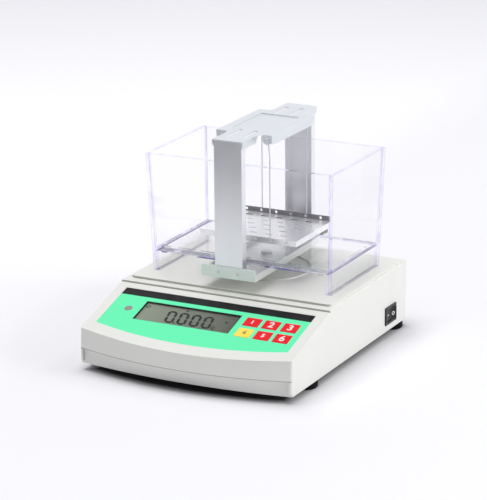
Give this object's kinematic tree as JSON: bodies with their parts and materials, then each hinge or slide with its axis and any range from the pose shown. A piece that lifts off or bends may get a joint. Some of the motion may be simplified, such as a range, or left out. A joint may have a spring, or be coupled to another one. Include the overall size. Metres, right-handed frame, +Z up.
{
  "type": "benchtop density meter",
  "caption": "Balance with a sloping key and display panel, a clear water tank on its deck and a sheet-metal gantry that hangs a perforated weighing tray in the tank.",
  "frame": {"origin": "on the surface it stands on, under the middle of its bounding box", "axes": "+Z up, -Y towards the user at the sloping panel, +X towards the power switch"},
  "size_m": [0.1928, 0.2362, 0.1832],
  "materials": {
    "case": "fine moulded grain",
    "panel": "printed film",
    "clear": "clear acrylic",
    "display": "glossy",
    "indicator": "glossy",
    "key_red": "printed film",
    "key_yellow": "printed film",
    "board": "solder mask",
    "black_plastic": "moulded",
    "steel": "brushed",
    "polished_steel": "polished",
    "zinc": "plated",
    "aluminium": "machined",
    "coated_sheet": "satin anodised",
    "brass": "turned"
  },
  "bodies": {
    "housing": {"upper_shell": "case", "lower_shell": "case", "case_screws": "zinc", "front_panel": "panel", "display_window": "clear", "display_module": "display", "indicator_lens": "indicator", "key_switches": "black_plastic", "display_board": "board", "board_screws": "zinc", "main_board": "board", "main_board_screws": "zinc", "switch_frame": "black_plastic", "power_inlet": "black_plastic", "foot_bushes": "brass", "load_cell": "aluminium", "cell_spacer": "aluminium", "cell_screws": "zinc"},
    "weighing_stand": {"hub_bracket": "aluminium", "bracket_screws": "zinc", "bottom_channel": "coated_sheet", "front_post": "coated_sheet", "rear_post": "coated_sheet", "post_screws": "zinc"},
    "hanger": {"top_beam": "coated_sheet", "hanger_wires": "steel", "tray": "polished_steel"},
    "water_tank": {"tank_left_wall": "clear", "tank_right_wall": "clear", "tank_front_wall": "clear", "tank_back_wall": "clear", "tank_floor": "clear", "tank_support_strips": "clear"},
    "power_rocker": {"switch_rocker": "black_plastic"},
    "key_1_cap": {"key_1": "key_yellow"},
    "key_2_cap": {"key_2": "key_red"},
    "key_3_cap": {"key_3": "key_red"},
    "key_4_cap": {"key_4": "key_red"},
    "key_5_cap": {"key_5": "key_red"},
    "key_6_cap": {"key_6": "key_red"},
    "foot_screw_front_left": {"foot_stud_front_left": "steel"},
    "foot_wheel_front_left": {"foot_pad_front_left": "black_plastic"},
    "foot_screw_back_left": {"foot_stud_back_left": "steel"},
    "foot_wheel_back_left": {"foot_pad_back_left": "black_plastic"},
    "foot_screw_front_right": {"foot_stud_front_right": "steel"},
    "foot_wheel_front_right": {"foot_pad_front_right": "black_plastic"},
    "foot_screw_back_right": {"foot_stud_back_right": "steel"},
    "foot_wheel_back_right": {"foot_pad_back_right": "black_plastic"}
  },
  "joints": [
    {"name": "stand_settle", "type": "slide", "parent": "housing", "child": "weighing_stand", "axis": [0, 0, -1], "range_m": [0, 0.0004], "stiffness_N_per_m": 12000, "springref_m": -0.0006},
    {"name": "hanger_lift_off", "type": "slide", "parent": "weighing_stand", "child": "hanger", "axis": [0, 0, 1], "range_m": [0, 0.075]},
    {"name": "tank_lift", "type": "slide", "parent": "housing", "child": "water_tank", "axis": [0, 0, 1], "range_m": [0, 0.01]},
    {"name": "power_rocker_tip", "type": "hinge", "parent": "housing", "child": "power_rocker", "pos_m": [0.092, 0.08215, 0.01965], "axis": [0, 0, 1], "range_deg": [0, 14]},
    {"name": "key_1_press", "type": "slide", "parent": "housing", "child": "key_1_cap", "axis": [0, 0.2785, -0.9604], "range_m": [0, 0.0005], "stiffness_N_per_m": 1500, "springref_m": -0.0003},
    {"name": "key_2_press", "type": "slide", "parent": "housing", "child": "key_2_cap", "axis": [0, 0.2785, -0.9604], "range_m": [0, 0.0005], "stiffness_N_per_m": 1500, "springref_m": -0.0003},
    {"name": "key_3_press", "type": "slide", "parent": "housing", "child": "key_3_cap", "axis": [0, 0.2785, -0.9604], "range_m": [0, 0.0005], "stiffness_N_per_m": 1500, "springref_m": -0.0003},
    {"name": "key_4_press", "type": "slide", "parent": "housing", "child": "key_4_cap", "axis": [0, 0.2785, -0.9604], "range_m": [0, 0.0005], "stiffness_N_per_m": 1500, "springref_m": -0.0003},
    {"name": "key_5_press", "type": "slide", "parent": "housing", "child": "key_5_cap", "axis": [0, 0.2785, -0.9604], "range_m": [0, 0.0005], "stiffness_N_per_m": 1500, "springref_m": -0.0003},
    {"name": "key_6_press", "type": "slide", "parent": "housing", "child": "key_6_cap", "axis": [0, 0.2785, -0.9604], "range_m": [0, 0.0005], "stiffness_N_per_m": 1500, "springref_m": -0.0003},
    {"name": "foot_climb_front_left", "type": "slide", "parent": "housing", "child": "foot_screw_front_left", "axis": [0, 0, -1], "range_m": [-0.0007, 0.006]},
    {"name": "foot_turn_front_left", "type": "hinge", "parent": "foot_screw_front_left", "child": "foot_wheel_front_left", "pos_m": [-0.0845, -0.0584, 0.0025], "axis": [0, 0, -1], "range_deg": [-275, 2200]},
    {"name": "foot_climb_back_left", "type": "slide", "parent": "housing", "child": "foot_screw_back_left", "axis": [0, 0, -1], "range_m": [-0.0007, 0.006]},
    {"name": "foot_turn_back_left", "type": "hinge", "parent": "foot_screw_back_left", "child": "foot_wheel_back_left", "pos_m": [-0.0845, 0.1061, 0.0025], "axis": [0, 0, -1], "range_deg": [-275, 2200]},
    {"name": "foot_climb_front_right", "type": "slide", "parent": "housing", "child": "foot_screw_front_right", "axis": [0, 0, -1], "range_m": [-0.0007, 0.006]},
    {"name": "foot_turn_front_right", "type": "hinge", "parent": "foot_screw_front_right", "child": "foot_wheel_front_right", "pos_m": [0.0845, -0.0584, 0.0025], "axis": [0, 0, -1], "range_deg": [-275, 2200]},
    {"name": "foot_climb_back_right", "type": "slide", "parent": "housing", "child": "foot_screw_back_right", "axis": [0, 0, -1], "range_m": [-0.0007, 0.006]},
    {"name": "foot_turn_back_right", "type": "hinge", "parent": "foot_screw_back_right", "child": "foot_wheel_back_right", "pos_m": [0.0845, 0.1061, 0.0025], "axis": [0, 0, -1], "range_deg": [-275, 2200]}
  ],
  "couplings": [
    {"joint": "foot_turn_front_left", "follows": "foot_climb_front_left", "rad_per_m": 6283.2},
    {"joint": "foot_turn_back_left", "follows": "foot_climb_back_left", "rad_per_m": 6283.2},
    {"joint": "foot_turn_front_right", "follows": "foot_climb_front_right", "rad_per_m": 6283.2},
    {"joint": "foot_turn_back_right", "follows": "foot_climb_back_right", "rad_per_m": 6283.2}
  ]
}
